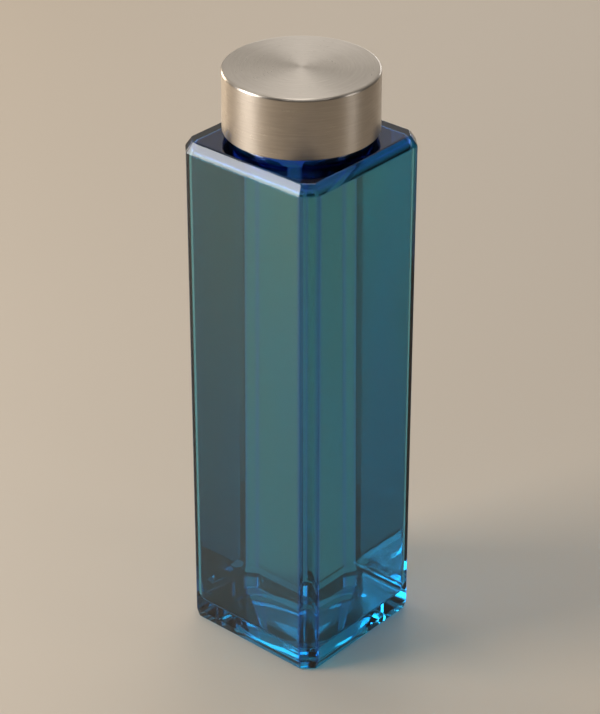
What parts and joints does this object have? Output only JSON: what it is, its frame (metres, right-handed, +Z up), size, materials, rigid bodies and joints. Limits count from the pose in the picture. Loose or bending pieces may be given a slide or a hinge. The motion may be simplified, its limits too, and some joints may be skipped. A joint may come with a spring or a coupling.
{
  "type": "square water bottle with screw cap",
  "caption": "Square blue-tinted glass bottle with bevelled corners, a heavy base and a plain brushed-steel screw cap that lifts as it is turned.",
  "frame": {"origin": "centre of the base, on the surface that the bottle stands on", "axes": "+Z up along the axis of the neck and cap; X and Y square to the flat sides"},
  "size_m": [0.076, 0.076, 0.2783],
  "materials": {
    "blue_glass": "clear moulded glass, tinted blue",
    "brushed_cap_steel": "brushed in circles",
    "liner_plastic": "fine moulded",
    "seal_silicone": "smooth, milky"
  },
  "bodies": {
    "bottle": {"bottle_body": "blue_glass"},
    "seal": {"seal_ring": "seal_silicone"},
    "cap": {"cap_shell": "brushed_cap_steel", "cap_liner": "liner_plastic"}
  },
  "joints": [
    {"name": "cap_rise", "type": "slide", "parent": "bottle", "child": "seal", "axis": [0, 0, 1], "range_m": [0, 0.0075]},
    {"name": "cap_turn", "type": "hinge", "parent": "seal", "child": "cap", "pos_m": [0, 0, 0.264], "axis": [0, 0, 1], "range_deg": [0, 540]}
  ],
  "couplings": [
    {"joint": "cap_rise", "follows": "cap_turn", "m_per_rad": 0.00079577}
  ]
}
